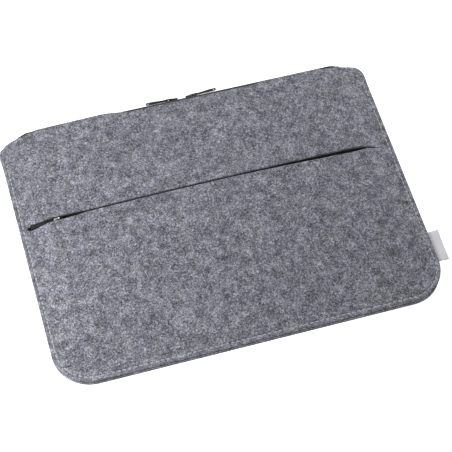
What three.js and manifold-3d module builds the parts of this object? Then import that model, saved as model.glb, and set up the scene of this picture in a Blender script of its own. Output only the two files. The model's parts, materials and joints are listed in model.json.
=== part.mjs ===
// Felt laptop sleeve with a zipped top and a zipped front pocket, lying on its back panel.
// Millimetres. +X runs along the top zip, +Y points from the closed bottom to the zip, +Z is up.
// The origin is on the floor, under the centre of the felt outline.
import * as THREE from 'three';
import { mergeVertices } from 'three/addons/utils/BufferGeometryUtils.js';
import Module from 'manifold-3d';

const wasm = await Module();
wasm.setup();

// Felt outline
const WIDTH = 385;
const DEPTH = 275;
const BOTTOM_RADIUS = 37;
const TOP_RADIUS = 17;

// Layers, from the floor up
const FELT = 2.7;
const LINING = 0.5;
const GAP = 0.3;

// How the sleeve swells
const CROWN_LIFT = 13;
const TOP_EDGE_LIFT = 10;
const SEAM_BORDER = 8;
const SIDE_RISE = 24.5;
const SIDE_SAG = 0.42;
const POCKET_SHARE = 0.5;
const POCKET_FADE_START = 60;
const POCKET_FADE_END = 124;

// Pocket slit and its zip
const SLIT_Y = 34.5;
const SLIT_HALF = 2.5;
const SLIT_LEFT = -184;
const SLIT_RIGHT = 180;
const SLIT_TAPER_START = 152;
const POCKET_CHAIN_END = 165;
const POCKET_PULL_X = -155;
const POCKET_TAPE_END = 168;

// Top zip: a straight chain that stands out from the felt edges
const TOP_CHAIN_Y = 143.6;
const TOP_CHAIN_Z = 7.2;
const TOP_CHAIN_END = 168;
const TOP_TAPE_END = 173;
const TOP_TAPE_INSET = 10.5;
const TOP_LEFT_PULL_X = -9.2;
const TOP_RIGHT_PULL_X = 12;

// Zip cross-section, measured from the plane the coils lie on
const TAPE = 0.4;
const TAPE_TOP = -0.3;
const COIL_WIDTH = 2;
const COIL_HEIGHT = 1.2;
const COIL_INNER_CLOSED = 0.5;
const COIL_INNER_OPEN = 2.6;
const POCKET_COIL_PLANE = -2.6;
const STOP_LENGTH = 2.2;

// Sliders and pulls
const SLIDER_LENGTH = 9.6;
const SLIDER_TAIL = 3;
const PLATE = 0.8;
const PLATE_UNDER = 0.6;
const PLATE_BOTTOM = 1.5;
const PLATE_TOP = PLATE_BOTTOM + PLATE;
const UNDER_TOP = -1;
const NECK_HALF = 0.25;
const LIP = 0.6;
const LIP_BOTTOM = 0;
const TOP_SLIDER_HALF = 3.4;
const POCKET_SLIDER_HALF = 5.5;
const BAIL_HALF_LENGTH = 2.9;
const BAIL_WIRE = 0.7;
const BAIL_HALF_WIDTH = 0.8;
const BAIL_GAP = 0.2;
const BAIL_HEIGHT = 2.2;
const PULL_LENGTH = 27;
const PULL_THICKNESS = 1;
const PULL_HALF_WIDTH = 2.2;
const PULL_WAIST = 1.5;
const PULL_AXIS_HEIGHT = 3.25;
const WINDOW_START = 0.45;
const WINDOW_END = 3.6;
const WINDOW_HALF = 1.1;
const PULL_HOLE_RADIUS = 1;
const PULL_HOLE_INSET = 2.6;
const LEFT_PULL_TILT = 2;
const RIGHT_PULL_TILT = 3;
const POCKET_PULL_TILT = 6.3;

// Seam thread and side label
const SEAM_INSET = 4;
const THREAD_WIDTH = 0.9;
const THREAD_HEIGHT = 0.35;
const GROOVE_WIDTH = 1.5;
const GROOVE_DEPTH = 0.6;
const THREAD_TOP_Y = 118;
const LABEL_BOTTOM = -102.5;
const LABEL_TOP = -69;
const LABEL_OUT = 11;
const LABEL_IN = 6;
const LABEL_THICKNESS = 0.8;

const HALF_WIDTH = WIDTH / 2;
const HALF_DEPTH = DEPTH / 2;
const SWELL_HALF = HALF_WIDTH - SEAM_BORDER;
const SWELL_BOTTOM = SEAM_BORDER - HALF_DEPTH;
const FLAT_TOP_START = SWELL_HALF - SIDE_RISE;
const PARTITION_BOTTOM = FELT + GAP;
const LINING_BOTTOM = PARTITION_BOTTOM + FELT + GAP;
const FRONT_BOTTOM = LINING_BOTTOM + LINING + GAP;
const SEAM_TOP = FRONT_BOTTOM + FELT;

// Grid lines that every swelling sheet and strip shares, so that neighbours stay parallel
const X_LINES = mirrored([30, 60, 90, 120, 142, 160, 165, 170, 175, 180, SWELL_HALF, HALF_WIDTH + 12]);
const Y_LINES = [-HALF_DEPTH - 12, SWELL_BOTTOM, -122, -112, -98, -80, -58, -30, 0, SLIT_Y,
  65, 90, 112, 128, HALF_DEPTH + 12];

const felt = new THREE.MeshStandardMaterial({ color: 0x7d7e88, roughness: 0.95, metalness: 0 });
const blackFabric = new THREE.MeshStandardMaterial({ color: 0x15161a, roughness: 0.85, metalness: 0 });
const blackNylon = new THREE.MeshStandardMaterial({ color: 0x111215, roughness: 0.5, metalness: 0 });
const blackPaint = new THREE.MeshStandardMaterial({ color: 0x16171a, roughness: 0.4, metalness: 0.4 });
const nickel = new THREE.MeshStandardMaterial({ color: 0xc4c6cb, roughness: 0.25, metalness: 1 });
const greyThread = new THREE.MeshStandardMaterial({ color: 0x8b8c97, roughness: 0.8, metalness: 0 });
const whiteWeave = new THREE.MeshStandardMaterial({ color: 0xd9d9dd, roughness: 0.8, metalness: 0 });

function mirrored(values) {
  return [...values.map((value) => -value).reverse(), 0, ...values];
}

function smoothstep(t) {
  const s = Math.min(Math.max(t, 0), 1);
  return s * s * (3 - 2 * s);
}

// Height that the front felt rises above its seam level at (x, y)
function lift(x, y) {
  const across = 1 - SIDE_SAG * (x / SWELL_HALF) ** 2;
  const side = 1 - smoothstep((Math.abs(x) - FLAT_TOP_START) / SIDE_RISE);
  let along = TOP_EDGE_LIFT + (CROWN_LIFT - TOP_EDGE_LIFT) * (1 - ((y - SLIT_Y) / (HALF_DEPTH - SLIT_Y)) ** 2);
  if (y < SLIT_Y) {
    const share = Math.max((y - SWELL_BOTTOM) / (SLIT_Y - SWELL_BOTTOM), 0);
    along = CROWN_LIFT * (1 - (1 - share) ** 2.2);
  }
  return along * across * side;
}

// Free height inside the front pocket, which closes where both felts meet at the top edge
function pocketRoom(x, y) {
  const fade = 1 - smoothstep((y - POCKET_FADE_START) / (POCKET_FADE_END - POCKET_FADE_START));
  return POCKET_SHARE * lift(x, y) * fade;
}

function frontUnderside(x, y) {
  return FRONT_BOTTOM + lift(x, y);
}

function innerLayer(bottom) {
  return (x, y) => bottom + lift(x, y) - pocketRoom(x, y);
}

function toSolid(geometry) {
  const bare = geometry.clone();
  bare.deleteAttribute('normal');
  bare.deleteAttribute('uv');
  const merged = mergeVertices(bare, 1e-5);
  return new wasm.Manifold(new wasm.Mesh({
    numProp: 3,
    vertProperties: new Float32Array(merged.attributes.position.array),
    triVerts: new Uint32Array(merged.index.array),
  }));
}

function toGeometry(solid) {
  const data = solid.getMesh();
  const geometry = new THREE.BufferGeometry();
  geometry.setAttribute('position', new THREE.BufferAttribute(new Float32Array(data.vertProperties), 3));
  geometry.setIndex(new THREE.BufferAttribute(new Uint32Array(data.triVerts), 1));
  geometry.computeVertexNormals();
  return geometry;
}

function prism(shape, bottom, top, curveSegments = 8) {
  const geometry = new THREE.ExtrudeGeometry(shape, { depth: top - bottom, bevelEnabled: false, curveSegments });
  return geometry.translate(0, 0, bottom);
}

function block(xRange, yRange, zRange) {
  const size = [xRange, yRange, zRange].map(([low, high]) => high - low);
  const middle = [xRange, yRange, zRange].map(([low, high]) => (low + high) / 2);
  return new THREE.BoxGeometry(...size).translate(...middle);
}

// The felt outline drawn in by an inset
function outline(inset) {
  const right = HALF_WIDTH - inset;
  const top = HALF_DEPTH - inset;
  const low = BOTTOM_RADIUS - inset;
  const high = TOP_RADIUS - inset;
  const shape = new THREE.Shape();
  shape.moveTo(-right + low, -top);
  shape.lineTo(right - low, -top);
  shape.absarc(right - low, -top + low, low, -Math.PI / 2, 0, false);
  shape.lineTo(right, top - high);
  shape.absarc(right - high, top - high, high, 0, Math.PI / 2, false);
  shape.lineTo(-right + high, top);
  shape.absarc(-right + high, top - high, high, Math.PI / 2, Math.PI, false);
  shape.lineTo(-right, -top + low);
  shape.absarc(-right + low, -top + low, low, Math.PI, Math.PI * 1.5, false);
  return shape;
}

// A band that follows the sides and the bottom, centred on the seam line
function seamBand(width) {
  const outer = SEAM_INSET - width / 2;
  const inner = SEAM_INSET + width / 2;
  const centreX = HALF_WIDTH - BOTTOM_RADIUS;
  const centreY = BOTTOM_RADIUS - HALF_DEPTH;
  const wide = BOTTOM_RADIUS - outer;
  const narrow = BOTTOM_RADIUS - inner;
  const shape = new THREE.Shape();
  shape.moveTo(-HALF_WIDTH + outer, THREAD_TOP_Y);
  shape.lineTo(-HALF_WIDTH + outer, centreY);
  shape.absarc(-centreX, centreY, wide, Math.PI, Math.PI * 1.5, false);
  shape.lineTo(centreX, -HALF_DEPTH + outer);
  shape.absarc(centreX, centreY, wide, Math.PI * 1.5, Math.PI * 2, false);
  shape.lineTo(HALF_WIDTH - outer, THREAD_TOP_Y);
  shape.lineTo(HALF_WIDTH - inner, THREAD_TOP_Y);
  shape.lineTo(HALF_WIDTH - inner, centreY);
  shape.absarc(centreX, centreY, narrow, Math.PI * 2, Math.PI * 1.5, true);
  shape.lineTo(-centreX, -HALF_DEPTH + inner);
  shape.absarc(-centreX, centreY, narrow, Math.PI * 1.5, Math.PI, true);
  shape.lineTo(-HALF_WIDTH + inner, THREAD_TOP_Y);
  return shape;
}

function slitShape() {
  const shape = new THREE.Shape();
  shape.moveTo(SLIT_LEFT + SLIT_HALF, SLIT_Y - SLIT_HALF);
  shape.lineTo(SLIT_TAPER_START, SLIT_Y - SLIT_HALF);
  shape.lineTo(SLIT_RIGHT, SLIT_Y);
  shape.lineTo(SLIT_TAPER_START, SLIT_Y + SLIT_HALF);
  shape.lineTo(SLIT_LEFT + SLIT_HALF, SLIT_Y + SLIT_HALF);
  shape.absarc(SLIT_LEFT + SLIT_HALF, SLIT_Y, SLIT_HALF, Math.PI / 2, Math.PI * 1.5, false);
  return shape;
}

// A sheet on the shared grid whose underside follows bottomAt(x, y)
function swellingSheet(bottomAt, thickness) {
  const columns = X_LINES.length - 1;
  const rows = Y_LINES.length - 1;
  const geometry = new THREE.BoxGeometry(columns, rows, 1, columns, rows, 1);
  const position = geometry.attributes.position;
  for (let i = 0; i < position.count; i += 1) {
    const x = X_LINES[Math.round(position.getX(i) + columns / 2)];
    const y = Y_LINES[Math.round(position.getY(i) + rows / 2)];
    const rise = position.getZ(i) > 0 ? thickness : 0;
    position.setXYZ(i, x, y, bottomAt(x, y) + rise);
  }
  return geometry;
}

function stationsBetween(start, end) {
  return [start, ...X_LINES.filter((x) => x > start + 1 && x < end - 1), end];
}

// A strip along X: centreAt(x) gives the (y, z) points of its section's middle line, from one edge to the other
function strip(stations, pointCount, thickness, centreAt) {
  const columns = stations.length - 1;
  const rows = pointCount - 1;
  const geometry = new THREE.BoxGeometry(columns, rows, 1, columns, rows, 1);
  const position = geometry.attributes.position;
  for (let i = 0; i < position.count; i += 1) {
    const x = stations[Math.round(position.getX(i) + columns / 2)];
    const row = Math.round(position.getY(i) + rows / 2);
    const points = centreAt(x);
    const before = points[Math.max(row - 1, 0)];
    const after = points[Math.min(row + 1, rows)];
    const length = Math.hypot(after[0] - before[0], after[1] - before[1]);
    const side = (Math.sign(position.getZ(i)) * thickness) / 2;
    const y = points[row][0] - (side * (after[1] - before[1])) / length;
    const z = points[row][1] + (side * (after[0] - before[0])) / length;
    position.setXYZ(i, x, y, z);
  }
  return geometry;
}

function node(name, geometry, material) {
  const mesh = new THREE.Mesh(geometry, material);
  mesh.name = name;
  return mesh;
}

// Felt panels and lining

function backPanel() {
  const panel = toSolid(prism(outline(0), 0, FELT));
  const groove = toSolid(prism(seamBand(GROOVE_WIDTH), -1, GROOVE_DEPTH));
  return node('back_panel', toGeometry(panel.subtract(groove)), felt);
}

function partitionPanel() {
  const sheet = toSolid(swellingSheet(innerLayer(PARTITION_BOTTOM), FELT));
  const trimmed = sheet.intersect(toSolid(prism(outline(0), 0, 60)));
  return node('partition_panel', toGeometry(trimmed), felt);
}

function pocketLining() {
  const sheet = toSolid(swellingSheet(innerLayer(LINING_BOTTOM), LINING));
  const trimmed = sheet.intersect(toSolid(prism(outline(GAP), 0, 60)));
  return node('pocket_lining', toGeometry(trimmed), blackFabric);
}

function frontPanel() {
  const sheet = toSolid(swellingSheet(frontUnderside, FELT));
  const slit = toSolid(prism(slitShape(), 0, 60, 6));
  const groove = toSolid(prism(seamBand(GROOVE_WIDTH), SEAM_TOP - GROOVE_DEPTH, SEAM_TOP + 1));
  const labelNotch = toSolid(block(
    [HALF_WIDTH - LABEL_IN - GAP, HALF_WIDTH + 1],
    [LABEL_BOTTOM - GAP, LABEL_TOP + GAP],
    [FRONT_BOTTOM - 1, FRONT_BOTTOM + LABEL_THICKNESS + GAP],
  ));
  const trimmed = sheet.intersect(toSolid(prism(outline(0), 0, 60)));
  const cut = trimmed.subtract(slit).subtract(groove).subtract(labelNotch);
  return node('front_panel', toGeometry(cut), felt);
}

function sideLabel() {
  const geometry = block(
    [HALF_WIDTH - LABEL_IN, HALF_WIDTH + LABEL_OUT],
    [LABEL_BOTTOM, LABEL_TOP],
    [FRONT_BOTTOM, FRONT_BOTTOM + LABEL_THICKNESS],
  );
  return node('side_label', geometry, whiteWeave);
}

function seamThreads() {
  const front = SEAM_TOP - GROOVE_DEPTH + GAP / 2;
  const back = GAP / 2;
  return [
    node('seam_thread_front', prism(seamBand(THREAD_WIDTH), front, front + THREAD_HEIGHT), greyThread),
    node('seam_thread_back', prism(seamBand(THREAD_WIDTH), back, back + THREAD_HEIGHT), greyThread),
  ];
}

// Top zip

function topTapes() {
  const stations = stationsBetween(-TOP_TAPE_END, TOP_TAPE_END);
  const inner = HALF_DEPTH - TOP_TAPE_INSET;
  const turn = HALF_DEPTH + 0.7;
  const chainPlane = TOP_CHAIN_Y + TAPE_TOP - TAPE / 2;
  const reach = TOP_SLIDER_HALF + GAP + TAPE / 2;
  const behindSlider = TOP_CHAIN_Y + UNDER_TOP - PLATE_UNDER - GAP - TAPE / 2;
  const backLevel = FELT + GAP + TAPE / 2;
  const frontLevel = (x, y) => innerLayer(PARTITION_BOTTOM)(x, y) - GAP - TAPE / 2;
  const back = strip(stations, 4, TAPE, () => [
    [inner, backLevel],
    [turn, backLevel],
    [chainPlane, TOP_CHAIN_Z - reach],
    [chainPlane, TOP_CHAIN_Z - COIL_INNER_CLOSED],
  ]);
  const front = strip(stations, 5, TAPE, (x) => [
    [chainPlane, TOP_CHAIN_Z + COIL_INNER_CLOSED],
    [chainPlane, TOP_CHAIN_Z + reach],
    [behindSlider, TOP_CHAIN_Z + reach],
    [turn, frontLevel(x, turn)],
    [inner, frontLevel(x, inner)],
  ]);
  return [node('top_zip_back_tape', back, blackFabric), node('top_zip_front_tape', front, blackFabric)];
}

function topCoils() {
  return [['back', -1], ['front', 1]].map(([side, sign]) => {
    const edges = [COIL_INNER_CLOSED, COIL_INNER_CLOSED + COIL_WIDTH].map((edge) => TOP_CHAIN_Z + sign * edge);
    const geometry = block(
      [-TOP_CHAIN_END, TOP_CHAIN_END],
      [TOP_CHAIN_Y, TOP_CHAIN_Y + COIL_HEIGHT],
      [Math.min(...edges), Math.max(...edges)],
    );
    return node(`top_zip_${side}_coil`, geometry, blackNylon);
  });
}

function topStops() {
  const half = COIL_INNER_CLOSED + COIL_WIDTH + GAP;
  return [['left', -1], ['right', 1]].map(([side, sign]) => {
    const ends = [TOP_CHAIN_END + GAP, TOP_CHAIN_END + GAP + STOP_LENGTH].map((x) => sign * x);
    const geometry = block(
      [Math.min(...ends), Math.max(...ends)],
      [TOP_CHAIN_Y, TOP_CHAIN_Y + COIL_HEIGHT + GAP],
      [TOP_CHAIN_Z - half, TOP_CHAIN_Z + half],
    );
    return node(`top_zip_${side}_stop`, geometry, nickel);
  });
}

// Pocket zip

// Distance of a coil's inner edge from the chain's middle: closed left of the slider, spread to its right
function coilSpread(x) {
  const share = smoothstep((x - POCKET_PULL_X + 2) / 8);
  return COIL_INNER_CLOSED + (COIL_INNER_OPEN - COIL_INNER_CLOSED) * share;
}

function pocketStations(end) {
  const spreading = [-157, -155, -153, -151, -149];
  return [...stationsBetween(-end, end), ...spreading].sort((a, b) => a - b);
}

function pocketTapes() {
  const plane = POCKET_COIL_PLANE + TAPE_TOP - TAPE / 2;
  const sewn = -GAP - TAPE / 2;
  const reach = POCKET_SLIDER_HALF + 0.5;
  const offsets = (x) => [[coilSpread(x), plane], [reach, plane], [reach + 0.8, sewn], [13.5, sewn]];
  return [['lower', -1], ['upper', 1]].map(([side, sign]) => {
    const geometry = strip(pocketStations(POCKET_TAPE_END), 4, TAPE, (x) => {
      const points = offsets(x).map(([out, down]) => {
        const y = SLIT_Y + sign * out;
        return [y, frontUnderside(x, y) + down];
      });
      return sign > 0 ? points : points.reverse();
    });
    return node(`pocket_zip_${side}_tape`, geometry, blackFabric);
  });
}

function pocketCoils() {
  const middle = POCKET_COIL_PLANE + COIL_HEIGHT / 2;
  return [['lower', -1], ['upper', 1]].map(([side, sign]) => {
    const geometry = strip(pocketStations(POCKET_CHAIN_END), 2, COIL_HEIGHT, (x) => {
      const edges = [coilSpread(x), coilSpread(x) + COIL_WIDTH].map((out) => SLIT_Y + sign * out);
      return edges.sort((a, b) => a - b).map((y) => [y, frontUnderside(x, SLIT_Y) + middle]);
    });
    return node(`pocket_zip_${side}_coil`, geometry, blackNylon);
  });
}

// A clamp that sits on the chain's plane between two distances across the slit
function pocketStop(name, start, end, nearY, farY) {
  const middle = POCKET_COIL_PLANE + COIL_HEIGHT / 2;
  const geometry = strip([start, end], 2, COIL_HEIGHT, (x) => {
    const level = frontUnderside(x, SLIT_Y) + middle;
    return [[nearY, level], [farY, level]];
  });
  return node(`pocket_zip_${name}_stop`, geometry, nickel);
}

function pocketStops() {
  const start = POCKET_CHAIN_END + GAP;
  const end = start + STOP_LENGTH;
  const closed = COIL_INNER_CLOSED + COIL_WIDTH + GAP;
  const inner = COIL_INNER_OPEN;
  const outer = COIL_INNER_OPEN + COIL_WIDTH;
  return [
    pocketStop('end', -end, -start, SLIT_Y - closed, SLIT_Y + closed),
    pocketStop('lower', start, end, SLIT_Y - outer, SLIT_Y - inner),
    pocketStop('upper', start, end, SLIT_Y + inner, SLIT_Y + outer),
  ];
}

// Sliders and pulls, drawn about the pull's axis: x away from the tail, y across, z out of the tape

function sliderBody(halfWidth) {
  const inside = halfWidth - LIP;
  const corners = [
    [halfWidth, PLATE_TOP], [halfWidth, LIP_BOTTOM], [inside, LIP_BOTTOM], [inside, PLATE_BOTTOM],
    [NECK_HALF, PLATE_BOTTOM], [NECK_HALF, UNDER_TOP], [halfWidth, UNDER_TOP],
    [halfWidth, UNDER_TOP - PLATE_UNDER],
  ];
  const mirror = corners.slice().reverse().map(([across, out]) => [-across, out]);
  const section = new THREE.Shape([...corners, ...mirror].map(([across, out]) => new THREE.Vector2(across, out)));
  const bar = prism(section, 0, SLIDER_LENGTH);
  bar.rotateX(Math.PI / 2);
  bar.rotateZ(Math.PI / 2);
  bar.translate(-SLIDER_TAIL, 0, 0);
  const plan = new THREE.Shape();
  const front = SLIDER_LENGTH - SLIDER_TAIL;
  const tailHalf = halfWidth * 0.72;
  plan.moveTo(-SLIDER_TAIL, -tailHalf);
  plan.lineTo(front * 0.35, -halfWidth);
  plan.lineTo(front - 1.4, -halfWidth);
  plan.quadraticCurveTo(front, -halfWidth, front, -halfWidth + 1.6);
  plan.lineTo(front, halfWidth - 1.6);
  plan.quadraticCurveTo(front, halfWidth, front - 1.4, halfWidth);
  plan.lineTo(front * 0.35, halfWidth);
  plan.lineTo(-SLIDER_TAIL, tailHalf);
  return toGeometry(toSolid(bar).intersect(toSolid(prism(plan, -5, 5, 4))));
}

function sliderBail() {
  const foot = PLATE_TOP + BAIL_GAP;
  const crown = foot + BAIL_HEIGHT;
  const inner = BAIL_HALF_LENGTH - BAIL_WIRE;
  const arch = new THREE.Shape();
  arch.moveTo(-BAIL_HALF_LENGTH, foot);
  arch.lineTo(-inner, foot);
  arch.lineTo(-inner, crown - BAIL_WIRE);
  arch.lineTo(inner, crown - BAIL_WIRE);
  arch.lineTo(inner, foot);
  arch.lineTo(BAIL_HALF_LENGTH, foot);
  arch.lineTo(BAIL_HALF_LENGTH, crown - 0.8);
  arch.quadraticCurveTo(BAIL_HALF_LENGTH, crown, BAIL_HALF_LENGTH - 0.8, crown);
  arch.lineTo(-BAIL_HALF_LENGTH + 0.8, crown);
  arch.quadraticCurveTo(-BAIL_HALF_LENGTH, crown, -BAIL_HALF_LENGTH, crown - 0.8);
  const geometry = prism(arch, -BAIL_HALF_WIDTH, BAIL_HALF_WIDTH, 3);
  return geometry.rotateX(Math.PI / 2);
}

function pullTab() {
  const tab = new THREE.Shape();
  const shoulder = WINDOW_END + 1.4;
  tab.moveTo(WINDOW_START, -PULL_HALF_WIDTH);
  tab.lineTo(-WINDOW_START, -PULL_HALF_WIDTH);
  tab.lineTo(-WINDOW_START, PULL_HALF_WIDTH);
  tab.lineTo(shoulder, PULL_HALF_WIDTH);
  tab.lineTo(shoulder + 2, PULL_WAIST);
  tab.lineTo(shoulder + 6, PULL_WAIST);
  tab.lineTo(PULL_LENGTH - 8, PULL_HALF_WIDTH);
  tab.absarc(PULL_LENGTH - PULL_HALF_WIDTH, 0, PULL_HALF_WIDTH, Math.PI / 2, -Math.PI / 2, true);
  tab.lineTo(PULL_LENGTH - 8, -PULL_HALF_WIDTH);
  tab.lineTo(shoulder + 6, -PULL_WAIST);
  tab.lineTo(shoulder + 2, -PULL_WAIST);
  tab.lineTo(shoulder, -PULL_HALF_WIDTH);
  const window = new THREE.Path();
  window.moveTo(WINDOW_START, -WINDOW_HALF);
  window.lineTo(WINDOW_END, -WINDOW_HALF);
  window.lineTo(WINDOW_END, WINDOW_HALF);
  window.lineTo(WINDOW_START, WINDOW_HALF);
  const hole = new THREE.Path();
  hole.absarc(PULL_LENGTH - PULL_HOLE_INSET, 0, PULL_HOLE_RADIUS, 0, Math.PI * 2, false);
  tab.holes.push(window, hole);
  return prism(tab, -PULL_THICKNESS / 2, PULL_THICKNESS / 2, 6);
}

// Body, bail and pull of one slider. The slider's nose faces +x and its pull hangs over the tail, tilted down.
function sliderSet(name, halfWidth, pullTilt) {
  const group = new THREE.Group();
  const body = node(`${name}_slider`, sliderBody(halfWidth), blackPaint);
  const bail = node(`${name}_slider_bail`, sliderBail(), nickel);
  const pull = node(`${name}_pull`, pullTab(), blackPaint);
  pull.position.z = PULL_AXIS_HEIGHT;
  pull.rotation.set(0, pullTilt, Math.PI, 'YXZ');
  group.add(body, bail, pull);
  return group;
}

function topSlider(side, pullX, tilt) {
  const group = sliderSet(`top_${side}`, TOP_SLIDER_HALF, THREE.MathUtils.degToRad(tilt));
  group.rotation.set(-Math.PI / 2, 0, pullX > 0 ? Math.PI : 0);
  group.position.set(pullX, TOP_CHAIN_Y, TOP_CHAIN_Z);
  return group;
}

function pocketSlider() {
  const group = sliderSet('pocket', POCKET_SLIDER_HALF, THREE.MathUtils.degToRad(-POCKET_PULL_TILT));
  const slope = (-2 * CROWN_LIFT * SIDE_SAG * POCKET_PULL_X) / SWELL_HALF ** 2;
  group.rotation.y = -Math.atan(slope);
  group.position.set(POCKET_PULL_X, SLIT_Y, frontUnderside(POCKET_PULL_X, SLIT_Y) + POCKET_COIL_PLANE);
  return group;
}

const sleeve = new THREE.Group();
sleeve.add(backPanel(), partitionPanel(), pocketLining(), frontPanel(), sideLabel(), ...seamThreads());
sleeve.add(...topTapes(), ...topCoils(), ...topStops());
sleeve.add(topSlider('left', TOP_LEFT_PULL_X, LEFT_PULL_TILT));
sleeve.add(topSlider('right', TOP_RIGHT_PULL_X, RIGHT_PULL_TILT));
sleeve.add(...pocketTapes(), ...pocketCoils(), ...pocketStops(), pocketSlider());

export default sleeve;
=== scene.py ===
"""Looks of the felt laptop sleeve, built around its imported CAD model. Lengths inside are millimetres."""
import json
import math
import bpy
import numpy as np
from mathutils import Matrix, Vector, noise


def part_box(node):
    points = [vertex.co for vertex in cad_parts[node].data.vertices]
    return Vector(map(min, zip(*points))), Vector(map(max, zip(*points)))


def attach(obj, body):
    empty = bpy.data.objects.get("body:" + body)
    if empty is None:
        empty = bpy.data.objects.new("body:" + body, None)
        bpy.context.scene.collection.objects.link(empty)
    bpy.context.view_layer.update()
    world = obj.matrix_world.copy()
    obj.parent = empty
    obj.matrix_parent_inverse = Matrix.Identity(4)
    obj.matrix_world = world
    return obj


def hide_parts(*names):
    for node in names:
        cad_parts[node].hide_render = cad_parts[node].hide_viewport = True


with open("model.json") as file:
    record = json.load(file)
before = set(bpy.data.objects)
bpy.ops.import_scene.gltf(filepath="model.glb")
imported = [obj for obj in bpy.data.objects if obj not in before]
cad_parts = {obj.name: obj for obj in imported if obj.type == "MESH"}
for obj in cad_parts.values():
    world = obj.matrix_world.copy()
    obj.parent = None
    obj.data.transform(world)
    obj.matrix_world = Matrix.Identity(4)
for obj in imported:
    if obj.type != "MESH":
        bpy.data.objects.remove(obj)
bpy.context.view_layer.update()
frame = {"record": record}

MM = 0.001


def cad_box(node):
    """Lowest and highest corners of a CAD node at rest."""
    low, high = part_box(node)
    return Vector(low) / MM, Vector(high) / MM


def joint_place(name):
    """A point on a joint's axis at rest."""
    joint = next(row for row in frame["record"]["behaviour"]["joints"] if row["name"] == name)
    return Vector(joint["pos_m"]) / MM


# Sizes read from the frame
FRONT_LOW, FRONT_HIGH = cad_box("front_panel")
BACK_LOW, BACK_HIGH = cad_box("back_panel")
HALF_WIDTH = BACK_HIGH.x
HALF_DEPTH = BACK_HIGH.y
FELT = BACK_HIGH.z - BACK_LOW.z
FRONT_BOTTOM = FRONT_LOW.z
LINING_BOTTOM = cad_box("pocket_lining")[0].z
PARTITION_BOTTOM = cad_box("partition_panel")[0].z
CROWN_LIFT = FRONT_HIGH.z - FRONT_BOTTOM - FELT
SEAM_TOP = FRONT_BOTTOM + FELT
SLIT_Y = joint_place("pocket_slider_travel").y

# Shape of the outline and of the swell, as in the CAD model
BOTTOM_RADIUS = 37.0
TOP_RADIUS = 17.0
LINING = 0.4
TOP_EDGE_LIFT = 10.0
SEAM_BORDER = 8.0
SIDE_RISE = 24.5
SIDE_SAG = 0.42
SWELL_POWER = 2.2
POCKET_SHARE = 0.5
POCKET_FADE = (60.0, 124.0)
SWELL_HALF = HALF_WIDTH - SEAM_BORDER
SWELL_BOTTOM = SEAM_BORDER - HALF_DEPTH

# Slit
SLIT_LEFT = -184.0
SLIT_RIGHT = 180.0
SLIT_WIDE = 2.35
SLIT_NARROW = 1.1
SLIT_TAPER = 152.0
SLIT_NARROWS = (-150.0, -120.0)
SLIT_WIDENS = 20.0
SLIT_EASE = 5.0

# Middle of the felt's mix of tones
FELT_TONE_SHIFT = 3.18

# Upper corners: how far the front layers are drawn in at the left one, and how much squarer the felts lie
CORNER_DRAW = 2.2
FRONT_CORNER_PUSH = 1.2
BACK_CORNER_PUSH = 2.2
CORNER_SPREAD = 11.0
CORNER_PLACE = 0.3
TOP_ZONE_START = 100.0
CORNER_DRAW_START = 158.0
CORNER_DRAW_LENGTH = 30.0
CORNER_DROP_SHARE = 0.3

# Reach of the front layers' top edge past its drawn line, at places from left to right
TOP_EDGE_REACH = ((-168.0, 0.0), (-150.0, 3.4), (-85.0, 3.4), (-48.0, -1.7), (72.0, -1.7), (92.0, 1.3),
                  (146.0, 1.3), (156.0, 0.0))

# Seam
SEAM_INSET = 4.0
SEAM_PINCH = 0.75
THREAD_TOP_Y = cad_box("seam_thread_front")[1].y
STITCH_PITCH = 5.2
STITCH_SHARE = 0.8
THREAD_WIDTH = 1.1
THREAD_HEIGHT = 0.5

# Camera, in millimetres and degrees
CAMERA_TARGET = Vector((4.83, -6.73, 0.0))
CAMERA_AZIMUTH = -20.07
CAMERA_ELEVATION = 60.56
CAMERA_ROLL = 4.35
CAMERA_DISTANCE = 1479.0
CAMERA_LENS = 119.5

# Studio, in metres and watts: each lamp has a place, a size and a power
KEY_LIGHT = ((-0.6, -0.12, 0.43), 0.4, 6.4)
FILL_LIGHT = ((0.9, 1.15, 0.45), 1.0, 30.0)
SKY_STRENGTH = 0.31
FLOOR_GLOW = 0.75
FLOOR_HALF = 6.0


def smoothstep(t):
    s = np.clip(t, 0.0, 1.0)
    return s * s * (3.0 - 2.0 * s)


def lift(x, y):
    """Height that the front felt rises above its level at the seam."""
    across = 1.0 - SIDE_SAG * (x / SWELL_HALF) ** 2
    side = 1.0 - smoothstep((np.abs(x) - SWELL_HALF + SIDE_RISE) / SIDE_RISE)
    upper = 1.0 - ((y - SLIT_Y) / (HALF_DEPTH - SLIT_Y)) ** 2
    share = np.clip((y - SWELL_BOTTOM) / (SLIT_Y - SWELL_BOTTOM), 0.0, 1.0)
    above = TOP_EDGE_LIFT + (CROWN_LIFT - TOP_EDGE_LIFT) * upper
    below = CROWN_LIFT * (1.0 - (1.0 - share) ** SWELL_POWER)
    return np.where(y < SLIT_Y, below, above) * across * side


def pocket_room(x, y):
    """Free height inside the front pocket."""
    fade = 1.0 - smoothstep((y - POCKET_FADE[0]) / (POCKET_FADE[1] - POCKET_FADE[0]))
    return POCKET_SHARE * lift(x, y) * fade


def front_underside(x, y):
    return FRONT_BOTTOM + lift(x, y)


def inner_layer(bottom):
    return lambda x, y: bottom + lift(x, y) - pocket_room(x, y)


def flat_layer(bottom):
    return lambda x, y: bottom + 0.0 * x


def soft_noise(x, y, scale, seed):
    """Smooth noise between about -1 and 1, with features of the given size."""
    return np.array([noise.noise((a / scale, b / scale, seed)) for a, b in zip(x, y)])


# Meshes and objects

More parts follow.
